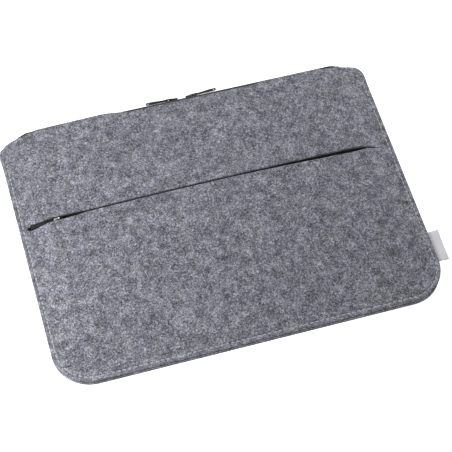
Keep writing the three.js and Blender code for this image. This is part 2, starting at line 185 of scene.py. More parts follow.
def make_object(name, verts, faces, material, body, replaced):
    """A piece from vertices in millimetres, smooth shaded, that rides on a body."""
    mesh = bpy.data.meshes.new(name)
    mesh.from_pydata([tuple(v) for v in np.asarray(verts) * MM], [], [tuple(f) for f in faces])
    mesh.validate()
    mesh.polygons.foreach_set("use_smooth", [True] * len(mesh.polygons))
    mesh.materials.append(material)
    piece = bpy.data.objects.new(name, mesh)
    bpy.context.collection.objects.link(piece)
    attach(piece, body)
    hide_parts(*replaced)
    return piece


def ring_faces(first, second):
    """Quads between two closed loops of vertex numbers."""
    count = len(first)
    return [(first[i], first[(i + 1) % count], second[(i + 1) % count], second[i]) for i in range(count)]


# Materials

class Nodes:
    """Short calls for building one node material."""

    def __init__(self, name):
        self.material = bpy.data.materials.new(name)
        self.material.use_nodes = True
        self.tree = self.material.node_tree
        self.shader = self.tree.nodes["Principled BSDF"]
        self.place = self.add("ShaderNodeTexCoord").outputs["Object"]

    def add(self, kind, **settings):
        node = self.tree.nodes.new(kind)
        for key, value in settings.items():
            setattr(node, key, value)
        return node

    def link(self, source, target):
        self.tree.links.new(source, target)

    def mapped(self, scale, turn=0.0, shift=(0.0, 0.0, 0.0)):
        """Object coordinates turned about Z and scaled; scale is features per millimetre."""
        node = self.add("ShaderNodeMapping", vector_type="POINT")
        turned = self.add("ShaderNodeMapping", vector_type="POINT")
        self.link(self.place, turned.inputs["Vector"])
        turned.inputs["Rotation"].default_value = (0.0, 0.0, math.radians(turn))
        self.link(turned.outputs["Vector"], node.inputs["Vector"])
        node.inputs["Scale"].default_value = tuple(s / MM for s in scale)
        node.inputs["Location"].default_value = shift
        return node.outputs["Vector"]

    def noise(self, scale, turn=0.0, detail=2.0, rough=0.5, shift=(0.0, 0.0, 0.0), warp=0.0):
        node = self.add("ShaderNodeTexNoise")
        self.link(self.mapped(scale, turn, shift), node.inputs["Vector"])
        node.inputs["Scale"].default_value = 1.0
        node.inputs["Detail"].default_value = detail
        node.inputs["Roughness"].default_value = rough
        node.inputs["Distortion"].default_value = warp
        return node.outputs["Fac"]

    def wave(self, scale, turn=0.0, warp=0.0):
        """Even bands, scale bands per millimetre."""
        node = self.add("ShaderNodeTexWave", wave_type="BANDS", bands_direction="X")
        self.link(self.mapped((scale, scale, scale), turn), node.inputs["Vector"])
        node.inputs["Scale"].default_value = 0.314
        node.inputs["Distortion"].default_value = warp
        return node.outputs["Fac"]

    def math(self, operation, first, second):
        node = self.add("ShaderNodeMath", operation=operation)
        for socket, value in zip(node.inputs, (first, second)):
            if isinstance(value, (int, float)):
                socket.default_value = value
            else:
                self.link(value, socket)
        return node.outputs["Value"]

    def ramp(self, factor, stops):
        """Colours or grey values at places along the factor."""
        node = self.add("ShaderNodeValToRGB")
        band = node.color_ramp
        while len(band.elements) < len(stops):
            band.elements.new(1.0)
        for element, (place, colour) in zip(band.elements, stops):
            element.position = place
            shade = colour if isinstance(colour, tuple) else (colour,) * 3
            element.color = (*shade, 1.0)
        self.link(factor, node.inputs["Fac"])
        return node.outputs["Color"]

    def multiply(self, first, second):
        """Product of two colours."""
        node = self.add("ShaderNodeMix", data_type="RGBA", blend_type="MULTIPLY")
        node.inputs["Factor"].default_value = 1.0
        self.link(first, node.inputs[6])
        self.link(second, node.inputs[7])
        return node.outputs[2]

    def bump(self, height, distance, strength):
        node = self.add("ShaderNodeBump")
        node.inputs["Strength"].default_value = strength
        node.inputs["Distance"].default_value = distance * MM
        self.link(height, node.inputs["Height"])
        self.link(node.outputs["Normal"], self.shader.inputs["Normal"])

    def finish(self, roughness, **sockets):
        if isinstance(roughness, (int, float)):
            self.shader.inputs["Roughness"].default_value = roughness
        else:
            self.link(roughness, self.shader.inputs["Roughness"])
        for name, value in sockets.items():
            self.shader.inputs[name.replace("_", " ")].default_value = value
        return self.material


def felt_material():
    """Heathered grey felt: pressed light and dark fibres in every direction, in clumps and clouds; the fine
    contrast is partly painted shade among the fibres.
    """
    n = Nodes("felt_heather_and_shade")
    clouds = n.noise((0.11, 0.11, 0.11), detail=3.0, rough=0.6)
    clumps = n.noise((0.45, 0.45, 0.45), detail=3.0, rough=0.7, shift=(7.0, 3.0, 1.0))
    specks = n.noise((0.95, 0.95, 0.95), detail=2.0, rough=0.8, shift=(2.0, 9.0, 4.0))
    light, dark = None, None
    for index, turn in enumerate((12.0, 57.0, 101.0, 146.0)):
        strand = n.noise((0.30, 1.9, 1.2), turn, detail=1.0, shift=(index * 5.0, 1.0, index), warp=0.7)
        light = strand if light is None else n.math("MAXIMUM", light, strand)
        # Dark strands: darker fibres, and painted shade among the fibres
        shadow = n.noise((0.34, 1.6, 1.2), turn + 23.0, detail=1.0, shift=(index * 3.0, 8.0, index),
                         warp=0.7)
        dark = shadow if dark is None else n.math("MINIMUM", dark, shadow)
    tone = n.math("ADD", n.math("MULTIPLY", clouds, 0.95), n.math("MULTIPLY", clumps, 1.4))
    tone = n.math("ADD", tone, n.math("MULTIPLY", specks, 1.9))
    tone = n.math("ADD", tone, n.math("MULTIPLY", light, 1.5))
    tone = n.math("ADD", tone, n.math("MULTIPLY", dark, 1.5))
    tone = n.math("SUBTRACT", tone, FELT_TONE_SHIFT)
    colour = n.ramp(tone, [
        (0.0, (0.034, 0.035, 0.042)),
        (0.30, (0.098, 0.100, 0.118)),
        (0.62, (0.212, 0.216, 0.250)),
        (1.0, (0.460, 0.467, 0.520)),
    ])
    tint = n.noise((0.06, 0.06, 0.06), detail=1.0, shift=(3.0, 3.0, 8.0))
    hue = n.ramp(tint, [(0.35, (0.99, 0.98, 1.025)), (0.65, (1.0, 1.005, 0.98))])
    n.link(n.multiply(colour, hue), n.shader.inputs["Base Color"])
    height = n.math("ADD", n.math("MULTIPLY", light, 0.8), n.math("MULTIPLY", specks, 0.7))
    n.bump(height, 0.6, 0.8)
    return n.finish(0.95, Sheen_Weight=0.1, Sheen_Roughness=0.5, Specular_IOR_Level=0.12)


def weave_material(name, dark, light, pitch, roughness):
    """Plain weave: two sets of threads that cross at the given pitch."""
    n = Nodes(name)
    warp = n.wave(1.0 / pitch)
    weft = n.wave(1.0 / pitch, turn=90.0)
    check = n.math("MULTIPLY", warp, weft)
    over = n.math("ADD", check, n.math("MULTIPLY", n.noise((0.6, 0.6, 0.6), detail=3.0), 0.4))
    colour = n.ramp(over, [(0.15, dark), (0.95, light)])
    n.link(colour, n.shader.inputs["Base Color"])
    n.bump(check, 0.12, 0.8)
    return n.finish(roughness, Sheen_Weight=0.15, Specular_IOR_Level=0.3)


def nylon_material():
    """Dyed black nylon of the zip teeth."""
    n = Nodes("zip_nylon")
    grain = n.noise((1.5, 1.5, 1.5), detail=3.0)
    colour = n.ramp(grain, [(0.3, (0.006, 0.006, 0.008)), (0.7, (0.02, 0.02, 0.024))])
    n.link(colour, n.shader.inputs["Base Color"])
    return n.finish(0.42, Specular_IOR_Level=0.5)


def paint_material():
    """Black painted metal, a little worn to grey, with fine grain."""
    n = Nodes("slider_paint")
    wear = n.noise((0.9, 0.9, 0.9), detail=4.0, rough=0.7)
    colour = n.ramp(wear, [
        (0.35, (0.006, 0.006, 0.008)),
        (0.62, (0.013, 0.013, 0.016)),
        (0.8, (0.04, 0.04, 0.045)),
    ])
    n.link(colour, n.shader.inputs["Base Color"])
    n.bump(wear, 0.03, 0.5)
    rough = n.ramp(wear, [(0.3, 0.38), (0.7, 0.55)])
    return n.finish(rough, Specular_IOR_Level=0.35)


def nickel_material():
    """Bright nickel with fine brushing along the wire."""
    n = Nodes("bail_nickel")
    brush = n.noise((0.5, 6.0, 6.0), detail=3.0)
    colour = n.ramp(brush, [(0.3, (0.72, 0.73, 0.75)), (0.7, (0.88, 0.89, 0.91))])
    n.link(colour, n.shader.inputs["Base Color"])
    rough = n.ramp(brush, [(0.3, 0.26), (0.7, 0.42)])
    return n.finish(rough, Metallic=1.0)


def thread_material():
    """Light grey sewing thread with its twist."""
    n = Nodes("seam_thread")
    twist = n.wave(1.6, turn=35.0, warp=0.5)
    colour = n.ramp(twist, [(0.1, (0.27, 0.27, 0.30)), (0.7, (0.50, 0.505, 0.55))])
    n.link(colour, n.shader.inputs["Base Color"])
    n.bump(twist, 0.12, 0.8)
    return n.finish(0.75, Sheen_Weight=0.2, Specular_IOR_Level=0.3)


def label_material():
    """Pale grey woven tape with fine ribs across it."""
    n = Nodes("label_ribs")
    rib = n.wave(2.4, turn=90.0)
    thread = n.wave(3.2)
    both = n.math("ADD", n.math("MULTIPLY", rib, 0.6), n.math("MULTIPLY", thread, 0.4))
    soft = n.math("ADD", both, n.math("MULTIPLY", n.noise((0.25, 0.25, 0.25), detail=2.0), 0.35))
    colour = n.ramp(soft, [(0.2, (0.43, 0.425, 0.455)), (0.95, (0.68, 0.67, 0.71))])
    n.link(colour, n.shader.inputs["Base Color"])
    n.bump(both, 0.08, 0.7)
    return n.finish(0.7, Sheen_Weight=0.2, Specular_IOR_Level=0.3)


FELT_LOOK = felt_material()
# Black lining; its near-black colour is also painted shade for the deep inside of the pocket
LINING_AND_SHADE_LOOK = weave_material("lining_weave_and_shade", (0.004, 0.004, 0.006), (0.016, 0.016, 0.020), 0.5, 0.8)
TAPE_LOOK = weave_material("tape_weave", (0.005, 0.005, 0.007), (0.022, 0.022, 0.027), 0.45, 0.75)
NYLON_LOOK = nylon_material()
PAINT_LOOK = paint_material()
NICKEL_LOOK = nickel_material()
THREAD_LOOK = thread_material()
LABEL_LOOK = label_material()


# Felt panels: a grid over the outline, with rings along its edge, turned into a closed sheet

def arc(centre, radius, start, end, count):
    """Points on an arc with their outward normals, both ends included."""
    rows = []
    for step in range(count + 1):
        angle = math.radians(start + (end - start) * step / count)
        normal = np.array([math.cos(angle), math.sin(angle)])
        rows.append((np.array(centre) + normal * radius, normal))
    return rows


def straight(start, end, normal, count, grade=()):
    """Points between two arcs. Grade adds points this far before the end."""
    start, end = np.array(start), np.array(end)
    length = np.linalg.norm(end - start)
    places = list(np.linspace(0.0, length - (grade[0] if grade else 0.0), count + 1))[1:]
    places += [length - g for g in grade[1:]]
    if grade:
        places.append(length)
    return [(start + (end - start) * p / length, np.array(normal)) for p in places]


class Outline:
    """The felt outline as the four sides of a grid, each point with its outward normal."""

    GRADE = (3.4, 2.0, 1.1, 0.45)

    def __init__(self, fine):
        low_x, low_y = HALF_WIDTH - BOTTOM_RADIUS, BOTTOM_RADIUS - HALF_DEPTH
        top_x, top_y = HALF_WIDTH - TOP_RADIUS, HALF_DEPTH - TOP_RADIUS
        low_arc, top_arc, columns = 8 * fine, 5 * fine, 100 * fine
        self.bottom = arc((-low_x, low_y), BOTTOM_RADIUS, 225, 270, low_arc)
        self.bottom += straight((-low_x, -HALF_DEPTH), (low_x, -HALF_DEPTH), (0, -1), columns - 2 * low_arc)
        self.bottom += arc((low_x, low_y), BOTTOM_RADIUS, 270, 315, low_arc)[1:]
        self.top = arc((-top_x, top_y), TOP_RADIUS, 135, 90, top_arc)
        self.top += straight((-top_x, HALF_DEPTH), (top_x, HALF_DEPTH), (0, 1), columns - 2 * top_arc)
        self.top += arc((top_x, top_y), TOP_RADIUS, 90, 45, top_arc)[1:]
        self.lower, self.upper = {}, {}
        for side in (-1, 1):
            start = 225 if side < 0 else 315
            end = 180 if side < 0 else 360
            rise = arc((side * low_x, low_y), BOTTOM_RADIUS, start, end, low_arc)
            edge = side * HALF_WIDTH
            rise += straight((edge, low_y), (edge, SLIT_Y), (side, 0), 34 * fine, self.GRADE)
            down = straight((edge, top_y), (edge, SLIT_Y), (side, 0), 22 * fine, self.GRADE)
            start = 180 if side < 0 else 0
            end = 135 if side < 0 else 45
            crown = arc((side * top_x, top_y), TOP_RADIUS, start, end, top_arc)
            self.lower[side] = rise
            self.upper[side] = down[::-1] + crown


def coons(bottom, top, left, right):
    """Points of a grid that fills four boundary lines."""
    bottom, top = np.array(bottom), np.array(top)
    left, right = np.array(left), np.array(right)
    u = np.linspace(0.0, 1.0, len(bottom))[None, :, None]
    steps = np.linalg.norm(np.diff(left, axis=0), axis=1)
    v = (np.concatenate([[0.0], np.cumsum(steps)]) / steps.sum())[:, None, None]
    across = (1 - v) * bottom[None] + v * top[None]
    along = (1 - u) * left[:, None] + u * right[:, None]
    corners = (1 - v) * ((1 - u) * bottom[0] + u * bottom[-1]) + v * ((1 - u) * top[0] + u * top[-1])
    return across + along - corners


def slit_half(x):
    """Half the slit's width: round at its left end, narrow in the middle and pointed at its right end."""
    start, end = SLIT_NARROWS
    widening = smoothstep((x - SLIT_WIDENS) / (SLIT_TAPER - SLIT_WIDENS))
    settle = smoothstep((x - start) / (end - start)) * (1.0 - widening)
    wide = SLIT_WIDE - (SLIT_WIDE - SLIT_NARROW) * settle
    short_of = np.clip((SLIT_LEFT + SLIT_WIDE - x) / SLIT_WIDE, 0.0, 1.0)
    round_end = np.sqrt(np.clip(1.0 - short_of ** 2, 0.0, 1.0))
    point = np.clip((SLIT_RIGHT - x) / (SLIT_RIGHT - SLIT_TAPER), 0.0, 1.0)
    return np.where((x > SLIT_LEFT) & (x < SLIT_RIGHT), wide * round_end * point, 0.0)


RING_INSETS = (6.7, 6.0, 5.4, 4.9, 4.45, 4.0, 3.55, 3.1, 2.5, 1.8, 1.1, 0.6, 0.22)
GRID_INSET = 7.5
EDGE_WALL = ((0.04, 0.18), (0.0, 0.5), (0.04, 0.82))

# Relief of the felt: heights, with the sizes of their features
WAVE_HEIGHT, WAVE_SIZE = 0.16, 17.0
RIPPLE_HEIGHT, RIPPLE_SIZE = 0.10, 6.0
GRAIN_HEIGHT, GRAIN_SIZE = 0.09, 2.6
FRAY_HEIGHT, FRAY_SIZE = 0.10, 3.0
RELIEF_LIMIT = 0.2
EDGE_ROUNDING = 0.30
EDGE_ROUND_INSET = 0.8
LIP_ROUNDING = 0.22
LIP_BULGE = 0.12


def flat_panel(fine, with_slit):
    """Plan of a panel: points, faces, each point's inset, the outer loop and the slit's loop."""
    shape = Outline(fine)

    def inner(rows):
        return [p - n * GRID_INSET for p, n in rows]

    left_at, right_at = inner(shape.lower[-1])[-1], inner(shape.lower[1])[-1]
    middle = np.linspace(left_at, right_at, len(shape.bottom))
    lower = coons(inner(shape.bottom), middle, inner(shape.lower[-1]), inner(shape.lower[1]))
    upper = coons(middle, inner(shape.top), inner(shape.upper[-1]), inner(shape.upper[1]))
    rows_low, columns = lower.shape[0], lower.shape[1]
    points = list(lower.reshape(-1, 2))
    low_id = np.arange(rows_low * columns).reshape(rows_low, columns)
    up_id = np.zeros(upper.shape[:2], dtype=int)
    open_here = slit_half(middle[:, 0]) > 0.0 if with_slit else np.zeros(columns, dtype=bool)
    for i in range(columns):
        if open_here[i]:
            up_id[0, i] = len(points)
            points.append(upper[0, i])
        else:
            up_id[0, i] = low_id[-1, i]
    for row in range(1, upper.shape[0]):
        for i in range(columns):
            up_id[row, i] = len(points)
            points.append(upper[row, i])
    faces = []
    for ids in (low_id, up_id):
        for row in range(ids.shape[0] - 1):
            for i in range(columns - 1):
                faces.append((ids[row, i], ids[row, i + 1], ids[row + 1, i + 1], ids[row + 1, i]))
    points = np.array(points)
    inset = np.full(len(points), GRID_INSET + 5.0)
    loop = list(low_id[0, :-1]) + list(low_id[:-1, -1]) + list(up_id[:-1, -1])
    loop += list(up_id[-1, :0:-1]) + list(up_id[:0:-1, 0]) + list(low_id[:0:-1, 0])
    inset[loop] = GRID_INSET
    sides = shape.bottom[:-1] + shape.lower[1][:-1] + shape.upper[1][:-1]
    sides += shape.top[:0:-1] + shape.upper[-1][:0:-1] + shape.lower[-1][:0:-1]
    for value in RING_INSETS:
        fresh = np.array([p - n * value for p, n in sides])
        ids = list(range(len(points), len(points) + len(fresh)))
        points = np.concatenate([points, fresh])
        inset = np.concatenate([inset, np.full(len(fresh), value)])
        faces += ring_faces(ids, loop)
        loop = ids
    slit_loop = []
    if with_slit:
        opened = [i for i in range(columns) if open_here[i]]
        tip_left, tip_right = low_id[-1, opened[0] - 1], low_id[-1, opened[-1] + 1]
        slit_loop = [tip_left] + [low_id[-1, i] for i in opened] + [tip_right]
        slit_loop += [up_id[0, i] for i in reversed(opened)]
    side_of = np.zeros(len(points))
    side_of[low_id.ravel()] = -1.0
    side_of[[i for i in up_id.ravel() if i >= rows_low * columns]] = 1.0
    return points, faces, inset, np.array([n for p, n in sides]), loop, slit_loop, side_of


def open_slit(points, side_of, slit_loop):
    """Moves the lips of the slit apart, and the felt behind them less and less."""
    away = np.abs(points[:, 1] - SLIT_Y)
    share = np.exp(-((away / SLIT_EASE) ** 2))
    moved = points.copy()
    moved[:, 1] += side_of * slit_half(points[:, 0]) * share
    return moved


def soft_profile(x, stops):
    """A value along x that eases from each stop to the next."""
    value = np.full(len(x), stops[0][1])
    for (start, before), (end, after) in zip(stops[:-1], stops[1:]):
        value += (after - before) * smoothstep((x - start) / (end - start))
    return value


def settle_top(points, push, front):
    """Squares the upper corners, and lets a front layer's corner and top edge lie as they do in use."""
    x, y = points[:, 0], points[:, 1]
    moved = points.copy()
    corner_x, corner_y = HALF_WIDTH - TOP_RADIUS * CORNER_PLACE, HALF_DEPTH - TOP_RADIUS * CORNER_PLACE
    for side in (-1.0, 1.0):
        away = np.hypot(x - side * corner_x, y - corner_y)
        near = np.exp(-((away / CORNER_SPREAD) ** 2))
        moved[:, 0] += side * push * near
        moved[:, 1] += push * near
    if front:
        near_top = smoothstep((y - TOP_ZONE_START) / (HALF_DEPTH - TOP_ZONE_START))
        corner = smoothstep((-x - CORNER_DRAW_START) / CORNER_DRAW_LENGTH) * near_top
        moved[:, 0] += CORNER_DRAW * corner
        moved[:, 1] += soft_profile(x, TOP_EDGE_REACH) * near_top - CORNER_DROP_SHARE * CORNER_DRAW * corner
    return moved


def felt_panel(name, node, bottom_at, thickness, fine, seed, top_pinch=0.0, bottom_pinch=0.0,
               with_slit=False, corner_push=FRONT_CORNER_PUSH, front=True, roughness=1.0, material=None):
    """A closed sheet over the felt outline, with soft cut edges and the pinch of the seam."""
    points, faces, inset, normals, loop, slit_loop, side_of = flat_panel(fine, with_slit)
    if with_slit:
        points = open_slit(points, side_of, slit_loop)
    points = settle_top(points, corner_push, front)
    x, y = points[:, 0], points[:, 1]
    waves = WAVE_HEIGHT * soft_noise(x, y, WAVE_SIZE, seed)
    waves = waves + RIPPLE_HEIGHT * soft_noise(x, y, RIPPLE_SIZE, seed + 5.0)
    grain = GRAIN_HEIGHT * soft_noise(x, y, GRAIN_SIZE, seed + 11.0)
    seam = np.exp(-(((inset - SEAM_INSET) / 1.0) ** 2)) * (y < THREAD_TOP_Y + 4.0)
    rounding = EDGE_ROUNDING * np.clip(1.0 - inset / EDGE_ROUND_INSET, 0.0, 1.0) ** 2
    lips = np.zeros(len(points))
    if with_slit:
        lips[slit_loop] = LIP_ROUNDING
    bottom = bottom_at(x, y)
    relief = roughness * (waves + grain) * np.clip(inset / 3.0, 0.25, 1.0)
    top_z = bottom + thickness - rounding - lips - top_pinch * seam + np.minimum(relief, RELIEF_LIMIT)
    low_z = bottom + rounding * 0.8 + lips + bottom_pinch * seam - np.minimum(relief, 0.0) * 0.3
    count = len(points)
    verts = [np.column_stack([x, y, top_z]), np.column_stack([x, y, low_z])]
    all_faces = [tuple(f) for f in faces]
    all_faces += [tuple(count + i for i in reversed(f)) for f in faces]
    total = 2 * count
    plan = points[loop]
    fray = FRAY_HEIGHT * soft_noise(plan[:, 0], plan[:, 1], FRAY_SIZE, seed + 21.0)
    previous = list(loop)
    for inset_here, share in EDGE_WALL:
        ring = plan + normals * (RING_INSETS[-1] - inset_here + roughness * fray[:, None])
        height = top_z[loop] + (low_z[loop] - top_z[loop]) * share
        ids = list(range(total, total + len(loop)))
        verts.append(np.column_stack([ring, height]))
        all_faces += ring_faces(ids, previous)
        previous = ids
        total += len(loop)
    all_faces += ring_faces([count + i for i in loop], previous)
    if slit_loop:
        centre = points[slit_loop]
        toward = np.sign(SLIT_Y - centre[:, 1])
        bulge = LIP_BULGE * np.clip(slit_half(centre[:, 0]) / SLIT_NARROW, 0.0, 1.0)
        middle = centre.copy()
        middle[:, 1] += toward * bulge
        ids = list(range(total, total + len(slit_loop)))
        verts.append(np.column_stack([middle, (top_z[slit_loop] + low_z[slit_loop]) / 2]))
        all_faces += ring_faces(list(slit_loop), ids)
        all_faces += ring_faces(ids, [count + i for i in slit_loop])
    verts = np.concatenate(verts)
    return make_object(name, verts, all_faces, material or FELT_LOOK, "sleeve", [node])


def panels():
    back = felt_panel("back_felt", "back_panel", flat_layer(BACK_LOW.z), FELT, 1, 3.0,
                      bottom_pinch=SEAM_PINCH, corner_push=BACK_CORNER_PUSH, front=False, roughness=0.5)
    middle = felt_panel("partition_felt", "partition_panel", inner_layer(PARTITION_BOTTOM), FELT, 1, 31.0,
                        roughness=0.6)
    # Black lining whose near-black colour also serves as painted shade inside the pocket
    lining = felt_panel("lining_and_shade_sheet", "pocket_lining", inner_layer(LINING_BOTTOM), LINING, 1, 47.0,
                        roughness=0.3, material=LINING_AND_SHADE_LOOK)
    front = felt_panel("front_felt", "front_panel", front_underside, FELT, 2, 71.0,
                       top_pinch=SEAM_PINCH, with_slit=True)


# Seam stitches

def seam_path():
    """Points along the seam line from the left side's top round the bottom to the right side's top."""
    low_x, low_y = HALF_WIDTH - BOTTOM_RADIUS, BOTTOM_RADIUS - HALF_DEPTH
    edge, radius = HALF_WIDTH - SEAM_INSET, BOTTOM_RADIUS - SEAM_INSET
    rows = [np.array([-edge, THREAD_TOP_Y])]
    rows += [p for p, n in arc((-low_x, low_y), radius, 180, 270, 40)]
    rows += [p for p, n in arc((low_x, low_y), radius, 270, 360, 40)]
    rows.append(np.array([edge, THREAD_TOP_Y]))
    return np.array(rows)


def along_path(path, distance):
    """Point and direction at a distance along a polyline."""
    steps = np.linalg.norm(np.diff(path, axis=0), axis=1)
    ends = np.concatenate([[0.0], np.cumsum(steps)])
    index = int(np.clip(np.searchsorted(ends, distance) - 1, 0, len(steps) - 1))
    direction = (path[index + 1] - path[index]) / steps[index]
    return path[index] + direction * (distance - ends[index]), direction


def stitches(name, node, level, outward):
    """Every stitch of one seam as its own short loop of thread that dips into the felt at both ends."""
    path = seam_path()
    length = np.linalg.norm(np.diff(path, axis=0), axis=1).sum()
    count = int(length / STITCH_PITCH)
    sections, sides = 7, 8
    verts, faces = [], []
    for index in range(count):
        middle = (index + 0.5) * length / count
        half = STITCH_PITCH * STITCH_SHARE / 2
        base = len(verts)
        for s in range(sections):
            share = -1.0 + 2.0 * s / (sections - 1)
            point, direction = along_path(path, middle + half * share)
            side = np.array([-direction[1], direction[0]])
            swell = math.sqrt(max(1.0 - abs(share) ** 3, 0.04))
            dip = 0.55 * share ** 4
            for k in range(sides):
                angle = 2 * math.pi * k / sides
                across = math.cos(angle) * THREAD_WIDTH / 2 * swell
                up = math.sin(angle) * THREAD_HEIGHT / 2 * swell - dip
                verts.append((*(point + side * across), level + outward * up))
        for s in range(sections - 1):
            first = [base + s * sides + k for k in range(sides)]
            faces += ring_faces(first, [i + sides for i in first])
        faces.append([base + k for k in reversed(range(sides))])
        faces.append([base + (sections - 1) * sides + k for k in range(sides)])
    make_object(name, verts, faces, THREAD_LOOK, "sleeve", [node])


def seams():
    sunk = SEAM_PINCH - THREAD_HEIGHT * 0.45
    stitches("front_stitches", "seam_thread_front", SEAM_TOP - sunk, 1.0)
    stitches("back_stitches", "seam_thread_back", BACK_LOW.z + sunk, -1.0)


# Zips

TOP_LEFT_PULL = joint_place("top_left_pull_swing")
TOP_RIGHT_PULL = joint_place("top_right_pull_swing")
POCKET_PULL = joint_place("pocket_pull_swing")
TOP_COIL_LOW, TOP_COIL_HIGH = cad_box("top_zip_front_coil")
CHAIN_Y = TOP_COIL_LOW.y
CHAIN_Z = TOP_LEFT_PULL.z
CHAIN_END = TOP_COIL_HIGH.x
TAPE_END = cad_box("top_zip_front_tape")[1].x
POCKET_CHAIN_END = cad_box("pocket_zip_upper_coil")[1].x
POCKET_TAPE_END = cad_box("pocket_zip_upper_tape")[1].x
TAPE = 0.4
TAPE_UNDER = 0.5
COIL_WIDTH = 2.0
COIL_HEIGHT = 1.2
COIL_PITCH = 1.3
COIL_WIRE = 0.3
COIL_CLOSED = 0.35
COIL_OPEN = 2.6
POCKET_PLANE = -2.6
POCKET_TAPE_EDGE = 6.0
POCKET_TAPE_SEWN = 6.8
POCKET_TAPE_WIDTH = 13.0
SPREAD_BEFORE = 2.0
SPREAD_LENGTH = 8.0
TOP_TAPE_INSET = 10.5
TOP_TAPE_OVERHANG = 0.7
TAPE_ROUND_SLIDER = 1.6
TAPE_REACH = 3.9
TUCK_DEPTH = 5.0
TUCK_START = 160.0
TUCK_LENGTH = 16.0

# Sliders, in their own axes: x runs from the tail to the nose and z out from the plane of the teeth
TOP_SLIDER_HALF = 3.4
POCKET_SLIDER_HALF = 5.5
SLIDER_TAIL = -3.0
SLIDER_FRONT = 6.6
SLIDER_TAIL_SHARE = 0.72
SLIDER_WAIST_SHARE = 0.35
SLIDER_CORNER = 1.4
SLIDER_LIP = 0.6
NECK_START = (-1.5, 1.0)
NECK_HALF = 0.27
NECK_SETBACK = 0.4
POST_HALF = (3.0, 0.9)

# Lower level, upper level and bevel of the slider's plates
UPPER_PLATE = (1.5, 2.3, 0.25)
UNDER_PLATE = (-1.6, -1.0, 0.2)
LIP_PLATE = (0.0, 1.9, 0.08)
NECK_PLATE = (-1.3, 1.8, 0.05)
POST_PLATE = (2.0, 2.42, 0.15)
CAST_VOXEL = 0.17
BAIL_HALF_LENGTH = 2.9
BAIL_WIRE = 0.7
BAIL_FOOT = 2.2
BAIL_CROWN = 4.7
BAIL_HALF_WIDTH = 0.8
PULL_AXIS_HEIGHT = 3.25

# Pulls: x runs from the swing axis to the free end
PULL_LENGTH = 27.0
PULL_HALF = 2.2
PULL_WAIST = 1.5
PULL_HALF_THICKNESS = 0.5
PULL_WINDOW = (0.45, 3.6)
PULL_WINDOW_HALF = 1.1
PULL_HOLE_INSET = 2.6
PULL_HOLE_RADIUS = 1.0
LEFT_PULL_TILT = 2.0
RIGHT_PULL_TILT = 3.0
POCKET_PULL_TILT = -6.3


def chaikin(points):
    """Rounds the corners of an open polyline twice and keeps its ends."""
    for _ in range(2):
        rounded = [points[0]]
        for a, b in zip(points[:-1], points[1:]):
            rounded += [0.75 * a + 0.25 * b, 0.25 * a + 0.75 * b]
        points = rounded + [points[-1]]
    return points


def band(stations, section, thickness, place):
    """A closed strip: section gives a polyline at each station, and place turns it into points."""
    rows = [np.array(chaikin([np.array(p, dtype=float) for p in section(s)])) for s in stations]
    count = len(rows[0])
    verts, faces = [], []
    for station, row in zip(stations, rows):
        run = np.gradient(row, axis=0)
        run /= np.linalg.norm(run, axis=1)[:, None]
        side = np.column_stack([-run[:, 1], run[:, 0]]) * thickness / 2
        loop = list(row + side) + list((row - side)[::-1])
        verts += [place(station, p) for p in loop]
    ring = 2 * count
    for s in range(len(stations) - 1):
        first = [s * ring + k for k in range(ring)]
        faces += ring_faces(first, [i + ring for i in first])
    for start, flip in ((0, True), ((len(stations) - 1) * ring, False)):
        for k in range(count - 1):
            quad = [start + k, start + k + 1, start + ring - 2 - k, start + ring - 1 - k]
            faces.append(quad[::-1] if flip else quad)
    return verts, faces


def tube(points, radius, sides):
    """A closed round wire along a polyline."""
    points = np.array(points)
    run = np.gradient(points, axis=0)
    run /= np.linalg.norm(run, axis=1)[:, None]
    normal = np.cross(run[0], (0.0, 0.0, 1.0))
    if np.linalg.norm(normal) < 0.1:
        normal = np.cross(run[0], (0.0, 1.0, 0.0))
    verts, faces = [], []
    for point, along in zip(points, run):
        normal = normal - along * normal.dot(along)
        normal /= np.linalg.norm(normal)
        other = np.cross(along, normal)
        for k in range(sides):
            angle = 2 * math.pi * k / sides
            verts.append(point + radius * (math.cos(angle) * normal + math.sin(angle) * other))
    for s in range(len(points) - 1):
        first = [s * sides + k for k in range(sides)]
        faces += ring_faces(first, [i + sides for i in first])
    faces.append(list(range(sides))[::-1])
    faces.append([(len(points) - 1) * sides + k for k in range(sides)])
    return verts, faces


def tuck(x):
    """How far the ends of the top zip turn in under the felt."""
    return TUCK_DEPTH * float(smoothstep((abs(x) - TUCK_START) / TUCK_LENGTH))


def top_tapes():
    stations = np.linspace(-TAPE_END, TAPE_END, 141)
    plane = CHAIN_Y - TAPE_UNDER
    inner, turn = HALF_DEPTH - TOP_TAPE_INSET, HALF_DEPTH + TOP_TAPE_OVERHANG
    back_level = FELT + 0.5
    front_top = CHAIN_Z + TAPE_REACH

    def front_level(x, y):
        return float(inner_layer(PARTITION_BOTTOM)(x, y)) - 0.5

    def back(x):
        return [(inner, back_level), (turn, back_level), (plane - TAPE_ROUND_SLIDER, back_level),
                (plane, back_level), (plane, CHAIN_Z - 0.5)]

    def front(x):
        return [(plane, CHAIN_Z + 0.5), (plane, front_top), (plane - TAPE_ROUND_SLIDER, front_top),
                (turn, front_level(x, turn)), (inner, front_level(x, inner))]

    def place(x, p):
        shift = tuck(x) * float(smoothstep((p[0] - inner) / (plane - inner)))
        return (x, p[0] - shift, p[1])

    for side, section, length in (("back", back, 19.5), ("front", front, 19.6)):
        verts, faces = band(stations, section, TAPE, place)
        tape = make_object(f"top_{side}_tape", verts, faces, TAPE_LOOK, "sleeve",
                           [f"top_zip_{side}_tape"])


